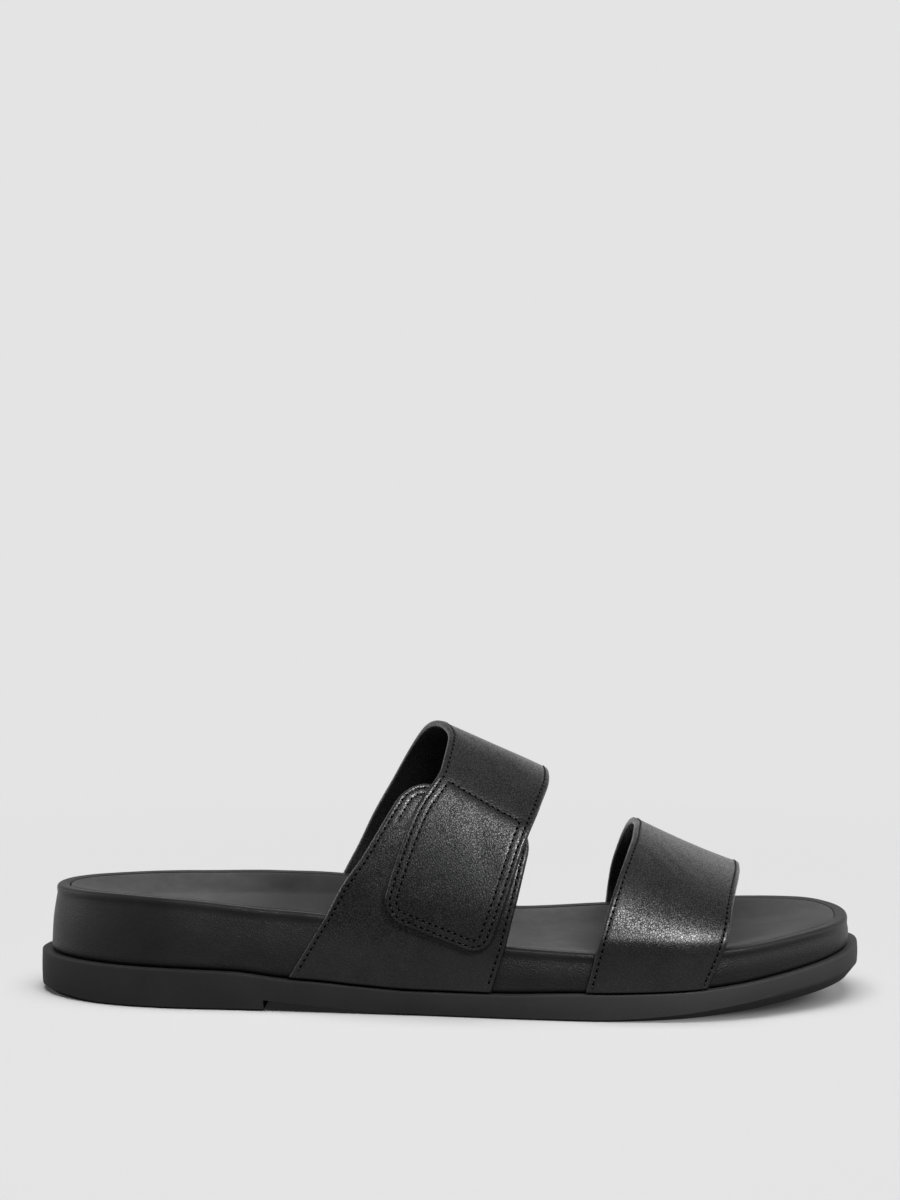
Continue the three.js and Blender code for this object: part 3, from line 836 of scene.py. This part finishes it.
tab = {
    **strapMake, "thickness": 2, "edgeRound": 0.9, "rows": 180, "crowd": 1.6,
    "corner": 7, "endRear": 73, "endFront": 57, "endWidth": 40, "innerSeam": 4.0, "innerReach": 15,
    "bend": 0.055, "bendLift": 0.6, "bendAbove": 9, "bendSoft": 5,
    "edges": [
        (-wall, 0.317, 0.562), (0, 0.363, 0.579), (0.05, 0.383, 0.586), (0.1, 0.4065, 0.593),
        (0.2, 0.442, 0.604), (0.3, 0.472, 0.613), (0.4, 0.49, 0.62),
    ],
    "folds": [(3, 34, 12, 42, 0.12, 2.5)],
}


def tabRelief(chart):
    rows = hump(chart["edge"] - tab["seam"], tab["troughWidth"])
    rows += hump(chart["edge"] - tab["innerSeam"], tab["troughWidth"]) * (chart["free"] < tab["innerReach"])
    return foldRelief(chart, tab["folds"]) - tab["trough"] * np.minimum(rows, 1)


tab["startAt"] = lambda across: np.full_like(across, -wall)
tab["endAt"] = lambda across: placeAtHeight(
    tab, across, mix(tab["endRear"], tab["endFront"], across) - cornerRise(tab, across)
)
tab["spread"] = lambda share: 1 - (1 - share) ** tab["crowd"]
tab["freeEnd"] = lambda chart: chart["end"] + cornerRise(tab, chart["across"])
tab["liftAt"] = lambda chart: gap + rimBends(tab, chart)
tab["relief"] = tabRelief

forefoot = {
    **strapMake, "thickness": 2.2, "edgeRound": 1, "rows": 340,
    "corner": 0.1, "sewnEnd": 3, "rowInset": 0.01,
    "bend": 0.036, "bendLift": 1.15, "bendAbove": 4.5, "bendSoft": 1.7,
    "edges": [
        (-wall, 0.673, 0.815), (0, 0.685, 0.832), (0.1, 0.6965, 0.84), (0.2, 0.708, 0.844),
        (0.3, 0.718, 0.848), (0.4, 0.724, 0.852), (0.5, 0.725, 0.854), (0.6, 0.72, 0.854),
        (0.7, 0.7135, 0.852), (0.8, 0.705, 0.848), (0.9, 0.6955, 0.843), (1, 0.69, 0.836),
        (1 + wall, 0.682, 0.825),
    ],
    "folds": [
        (6, 50, 14, 38, 0.09, 1.7), (9, 56, 18, 43, 0.08, 1.5), (14, 58, 22, 46, 0.08, 1.8),
        (10, 96, 26, 104, 0.1, 2.4), (8, 120, 24, 112, 0.1, 2.4),
    ],
}
forefoot["startAt"] = lambda across: np.full_like(across, -wall)
forefoot["endAt"] = lambda across: np.full_like(across, 1 + wall)
forefoot["spread"] = lambda share: share
forefoot["freeEnd"] = lambda chart: np.minimum(chart["start"], chart["end"]) + forefoot["sewnEnd"]
forefoot["liftAt"] = lambda chart: gap + rimBends(forefoot, chart)
forefoot["relief"] = lambda chart: foldRelief(chart, forefoot["folds"]) - forefoot["trough"] * hump(
    chart["edge"] - forefoot["seam"], forefoot["troughWidth"]
)

for strap, name, node in (
    (instep, "instep_band", "instep_strap"),
    (tab, "side_tab", "closure_tab"),
    (forefoot, "forefoot_band", "forefoot_strap"),
):
    edgeCurves(strap)
    dress(strapSkin(name, strap), node, "strap_leather", strapLeather, strapLining)

# Seams: one stitch with a black bead of painted shade in its needle hole, copied along rows on the finished
# leather
stitch = {
    "pitch": 2.15, "length": 1.34, "width": 0.6, "height": 0.46, "dip": 0.26, "rise": 0.13, "slant": 6,
    "blunt": 0.7, "lean": 0.7, "holeShade": (1.0, 0.85, 0.22),
    # how finely the rows are laid out, how far short of a strap's foot they stop
    "step": 0.6, "turnSteps": 14, "flatSteps": 60, "crossSteps": 80, "edgeSteps": 500, "footGap": 2,
}


def addBead(name, size, segments, rings):  # a long round bead, poles at its ends
    bpy.ops.mesh.primitive_uv_sphere_add(segments=segments, ring_count=rings, radius=0.5)
    bead = bpy.context.object
    bead.name = bead.data.name = name
    bpy.ops.object.mode_set(mode="EDIT")
    bpy.ops.mesh.select_all(action="SELECT")
    bpy.ops.transform.rotate(value=math.pi / 2, orient_axis="Y", center_override=(0, 0, 0))
    bpy.ops.transform.resize(value=[side * mm for side in size], center_override=(0, 0, 0))
    bpy.ops.object.mode_set(mode="OBJECT")
    bpy.ops.object.shade_smooth()
    return bead


def makeStitch():
    thread = addBead("stitch", (stitch["length"], stitch["width"], stitch["height"]), segments=8, rings=7)
    half = stitch["length"] * mm / 2
    for vertex in thread.data.vertices:
        share = vertex.co.x / half
        vertex.co.x = half * math.copysign(abs(share) ** stitch["blunt"], share)
        vertex.co.z += (stitch["rise"] - stitch["dip"] * share**2) * mm
    thread.data.materials.append(waxedThread)
    # painted shade: a dark bead set in the needle hole, where there is only shade
    holeShade = addBead("holeShade", stitch["holeShade"], segments=8, rings=4)
    for vertex in holeShade.data.vertices:
        vertex.co.x += stitch["pitch"] * mm / 2
    holeShade.data.materials.append(paintedHoleShade)
    pick(thread, holeShade)
    bpy.ops.object.join()
    return thread


def sheetColumn(sheet, across):
    column = np.interp(across, sheet["across"], np.arange(len(sheet["across"])))
    low = np.minimum(column.astype(int), len(sheet["across"]) - 2)
    return low, column - low


def onSheet(strap, across, place):  # points on the outer leather
    sheet = strap["sheet"]
    low, beside = sheetColumn(sheet, across)
    count = np.arange(len(sheet["place"]))
    ends = []
    for column in (low, low + 1):
        row = np.array([np.interp(p, sheet["place"][:, c], count) for p, c in zip(place, column)])
        r = np.minimum(row.astype(int), len(count) - 2)
        ends.append(mix(sheet["points"][r, column], sheet["points"][r + 1, column], (row - r)[:, None]))
    return mix(ends[0], ends[1], beside[:, None])


def placeFrom(strap, across, reach):  # the place at a distance from the free end
    sheet = strap["sheet"]
    low, beside = sheetColumn(sheet, across)
    ends = []
    for column in (low, low + 1):
        found = []
        for far, c in zip(reach, column):
            free, place = sheet["free"][:, c], sheet["place"][:, c]
            order = np.argsort(free)
            found.append(np.interp(far, free[order], place[order]))
        ends.append(np.array(found))
    return mix(ends[0], ends[1], beside)


def edgeShare(strap, side, distance, place):  # side 0 is the rear edge, 1 the front edge
    share = distance / strap["rearWidth" if side == 0 else "frontWidth"](place)
    return share if side == 0 else 1 - share


def besideEdge(strap, side, distance, reach):  # a row beside an edge, at these distances from the free end
    across = np.full(len(reach), 0.5)
    for _ in range(5):
        place = placeFrom(strap, across, reach)
        across = edgeShare(strap, side, distance, place)
    return across, place


def roundEnd(strap, inset, rearReach, frontReach):  # down beside one edge, round the free end, up the other
    corner = strap["corner"]
    turn = np.linspace(0, np.pi / 2, stitch["turnSteps"])
    aside, ahead = corner - (corner - inset) * np.cos(turn), corner - (corner - inset) * np.sin(turn)
    down = np.arange(rearReach, corner, -stitch["step"])
    up = np.arange(corner, frontReach, stitch["step"])
    width = strap["rearWidth"](placeFrom(strap, np.array([0.5]), np.array([inset])))[0]
    flat = np.linspace(corner / width, 1 - corner / width, stitch["flatSteps"])[1:-1]
    legs = [
        besideEdge(strap, 0, np.full(len(down), inset), down), besideEdge(strap, 0, aside, ahead),
        (flat, placeFrom(strap, flat, np.full(len(flat), inset))),
        besideEdge(strap, 1, aside[::-1], ahead[::-1]), besideEdge(strap, 1, np.full(len(up), inset), up),
    ]
    return np.concatenate([leg[0] for leg in legs]), np.concatenate([leg[1] for leg in legs])


def alongEdge(strap, side, inset, start, end):
    place = np.linspace(start, end, stitch["edgeSteps"])
    return edgeShare(strap, side, inset, place), place


def sewSeam(name, strap, path):
    across, place = path
    points = onSheet(strap, across, place)
    run = np.r_[0, np.cumsum(np.linalg.norm(np.diff(points, axis=0), axis=1))]
    count = round(run[-1] / stitch["pitch"])
    at = (np.arange(count) + 0.5) * run[-1] / count
    lay = {}
    for key, shift in (("back", -stitch["lean"]), ("on", 0), ("ahead", stitch["lean"])):
        lay[key] = np.clip(at + shift, 0, run[-1])
    spots = {key: (np.interp(d, run, across), np.interp(d, run, place)) for key, d in lay.items()}
    ahead = onSheet(strap, *spots["ahead"]) - onSheet(strap, *spots["back"])
    centre = (onSheet(strap, *spots["ahead"]) + onSheet(strap, *spots["back"])) / 2
    normal = formNormal(lineX(strap, *spots["on"]), spots["on"][1])
    copies = []
    for middle, along, up in zip(centre, ahead, normal):
        along, up = Vector(along).normalized(), Vector(up)
        side = up.cross(along).normalized()
        turned = Matrix((along, side, along.cross(side))).transposed().to_4x4()
        copy = bpy.data.objects.new(name, stitchUnit.data.copy())
        bpy.context.scene.collection.objects.link(copy)
        slant = Matrix.Rotation(math.radians(stitch["slant"]), 4, "Z")
        copy.matrix_world = Matrix.Translation(middle * mm + origin) @ turned @ slant
        copies.append(copy)
    bpy.context.view_layer.update()
    pick(*copies)
    bpy.ops.object.join()
    bpy.ops.object.transform_apply(location=True, rotation=True, scale=True)
    seam = bpy.context.object
    seam.name = seam.data.name = name
    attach(seam, "root")
    print("sewed", name, count, "stitches")


stitchUnit = makeStitch()
rearFoot, frontFoot = instep["sheet"]["free"][-1][[0, -1]] - stitch["footGap"]
crossEnds = np.array([instep["crossRear"], instep["crossFront"]])
rearTop, frontTop = [
    np.interp(place, instep["sheet"]["place"][:, c], instep["sheet"]["free"][:, c])
    for place, c in zip(crossEnds[:, 1], sheetColumn(instep["sheet"], crossEnds[:, 0])[0])
]
acrossFlap = np.linspace(crossEnds[0, 0], crossEnds[1, 0], stitch["crossSteps"])
sewSeam("band_outer_row", instep, roundEnd(instep, instep["seam"], rearFoot, frontFoot))
sewSeam("flap_inner_row", instep, roundEnd(instep, instep["innerSeam"], rearTop, frontTop))
sewSeam("flap_cross_row", instep, (acrossFlap, crossLine(acrossFlap)))
rearFoot, frontFoot = tab["sheet"]["free"][0][[0, -1]] - stitch["footGap"]
sewSeam("tab_outer_row", tab, roundEnd(tab, tab["seam"], rearFoot, frontFoot))
sewSeam("tab_inner_row", tab, roundEnd(tab, tab["innerSeam"], tab["innerReach"], tab["innerReach"]))
rowEnds = forefoot["rowInset"] - wall, 1 - forefoot["rowInset"] + wall
for side, name in ((0, "forefoot_rear_row"), (1, "forefoot_front_row")):
    sewSeam(name, forefoot, alongEdge(forefoot, side, forefoot["seam"], *rowEnds))
bpy.data.objects.remove(stitchUnit)


# Floor, light and camera
studio = {
    "azimuth": 3.5, "elevation": 11.5, "distance": 1.25, "focalPixels": 3825, "frame": (900, 1200),
    "middlePixel": (448, 989.5), "sensor": 36, "clip": (0.05, 20),
    "floor": 12, "floorTone": 0.7758, "floorFade": (0.2, 0.45), "paper": 0.8, "bounce": 0.28, "glow": 0.33,
    # the floor throws back less light behind the shoe
    "behindFrom": 0.1, "behindSlope": 0.8, "behindFade": (-0.02, 0.12),
    "tent": 0.7, "tentTop": 0.35, "tentFade": (0.15, 0.75),
    "tentDark": 0.07, "frontDark": (0.3, 0.8), "lowDark": (0.15, 0.35),
    # the shade under the outsole's arch: where it starts and ends along and aside, depth
    "archRear": (-0.065, -0.06), "archFront": (-0.01, 0.0), "archAside": (0.04, 0.045), "archShade": 0.94,
    # from the middle of the shoe, half length, half width, from where to where it fades, depth
    "shades": [(0.0435, 0.085, 0.052, (0.8, 1.0), 0.88), (-0.088, 0.058, 0.047, (0.75, 1.08), 0.8)],
}


def addFloor():
    bpy.ops.mesh.primitive_plane_add(size=studio["floor"])
    floor = bpy.context.object
    floor.name = "studio_floor"
    f = Finish("studio_floor")
    away = f.add("ShaderNodeVectorMath", {"operation": "LENGTH"}, {0: f.place()}, out=1)
    x, y = [f.axis(f.place(), which) for which in (0, 1)]
    aside = f.maths("ABSOLUTE", y, 0)
    past = y + studio["behindSlope"] * f.maths("ABSOLUTE", x, 0) - studio["behindFrom"]
    behind = f.between(*studio["behindFade"], past)
    seen = f.add("ShaderNodeLightPath")
    bounced = f.shade(behind, (studio["bounce"], studio["paper"]))
    near = f.add("ShaderNodeBsdfDiffuse", {}, {"Color": f.blend(seen, bounced, grey(studio["paper"]))})
    dimmed = studio["floorTone"] * studio["bounce"] / studio["paper"]
    glow = f.shade(behind, (dimmed, studio["floorTone"]))
    far = f.add("ShaderNodeEmission", {}, {"Color": f.blend(seen, glow, grey(studio["floorTone"]))})
    arch = f.between(*studio["archRear"], x) * (1 - f.between(*studio["archFront"], x))
    under = studio["archShade"] * (arch * (1 - f.between(*studio["archAside"], aside)))
    for centre, half, wide, soft, shade in studio["shades"]:  # close under the toe and the heel
        off = f.maths("SQRT", ((x - centre) / half) ** 2 + (y / wide) ** 2, 0)
        under = f.maths("MAXIMUM", under, shade - shade * f.between(*soft, off))
    share = studio["glow"] * (1 - under) + (1 - studio["glow"]) * f.between(*studio["floorFade"], away)
    both = f.add("ShaderNodeMixShader", {}, {0: share, 1: near, 2: far})
    f.add("ShaderNodeOutputMaterial", {}, {"Surface": both})
    floor.data.materials.append(f.material)
    return floor


def addSoftbox(name, place, aim, size, power, diffuse=True, glossy=True, spared=None):
    light = bpy.data.lights.new(name, "AREA")
    light.shape, light.size, light.size_y, light.energy = "RECTANGLE", size[0], size[1], power
    lamp = bpy.data.objects.new(name, light)
    bpy.context.scene.collection.objects.link(lamp)
    lamp.location = place
    lamp.rotation_euler = (Vector(aim) - Vector(place)).to_track_quat("-Z", "Y").to_euler()
    lamp.visible_camera = False
    lamp.visible_diffuse = diffuse
    lamp.visible_glossy = glossy
    if spared:  # an object that this light leaves alone
        spares = bpy.data.collections.new(name + "_spares")
        lamp.light_linking.receiver_collection = spares
        spares.objects.link(spared)
        spares.collection_objects[0].light_linking.link_state = "EXCLUDE"


def addWorld():  # a white tent that only reflects; the camera sees it as an even backdrop
    world = bpy.data.worlds.new("studio")
    bpy.context.scene.world = world
    world.cycles_visibility.diffuse = False
    f = Finish("studio_tent", world)
    toward = f.add("ShaderNodeTexCoord")
    front = -1.0 * f.axis(toward, 1)
    height = f.axis(toward, 2)
    dark = f.between(*studio["frontDark"], front) * (1 - f.between(*studio["lowDark"], height))
    high = f.shade(f.between(*studio["tentFade"], height), (studio["tent"], studio["tentTop"]))
    tent = f.blend(dark, high, grey(studio["tentDark"]))
    tone = f.blend(f.add("ShaderNodeLightPath"), tent, grey(studio["floorTone"]))
    f.add("ShaderNodeOutputWorld", {}, {"Surface": f.add("ShaderNodeBackground", {}, {"Color": tone})})


def towards(turn, pitch):  # from the shoe to a camera that is turned and raised by these angles
    return Vector((math.sin(turn) * math.cos(pitch), -math.cos(turn) * math.cos(pitch), math.sin(pitch)))


def addCamera():
    azimuth, elevation = math.radians(studio["azimuth"]), math.radians(studio["elevation"])
    aside, down = [
        math.atan((pixel - side / 2) / studio["focalPixels"])
        for pixel, side in zip(studio["middlePixel"], studio["frame"])
    ]
    data = bpy.data.cameras.new("camera")
    camera = bpy.data.objects.new("camera", data)
    bpy.context.scene.collection.objects.link(camera)
    camera.location = towards(azimuth, elevation) * studio["distance"]
    ahead = -towards(azimuth + aside, elevation - down)
    camera.rotation_euler = ahead.to_track_quat("-Z", "Y").to_euler()
    data.sensor_fit, data.sensor_height = "VERTICAL", studio["sensor"]
    data.lens = studio["focalPixels"] / studio["frame"][1] * studio["sensor"]
    data.clip_start, data.clip_end = studio["clip"]
    bpy.context.scene.camera = camera


floor = addFloor()
addWorld()
addSoftbox("overhead", (0, -0.15, 2.2), (0, 0, 0), (2.2, 2.0), 61, glossy=False)
addSoftbox("front_top", (0.4, -0.91, 0.75), (0.02, 0, 0.03), (0.5, 0.13), 14, spared=floor)
addSoftbox("left_side", (-1.1, 0.15, 0.35), (-0.1, 0, 0.04), (0.5, 0.5), 1.8, diffuse=False)
addSoftbox("right_side", (1.1, 0.05, 0.35), (0.1, 0, 0.03), (0.5, 0.5), 2, diffuse=False)
addCamera()
bpy.context.scene.view_settings.view_transform = "Standard"
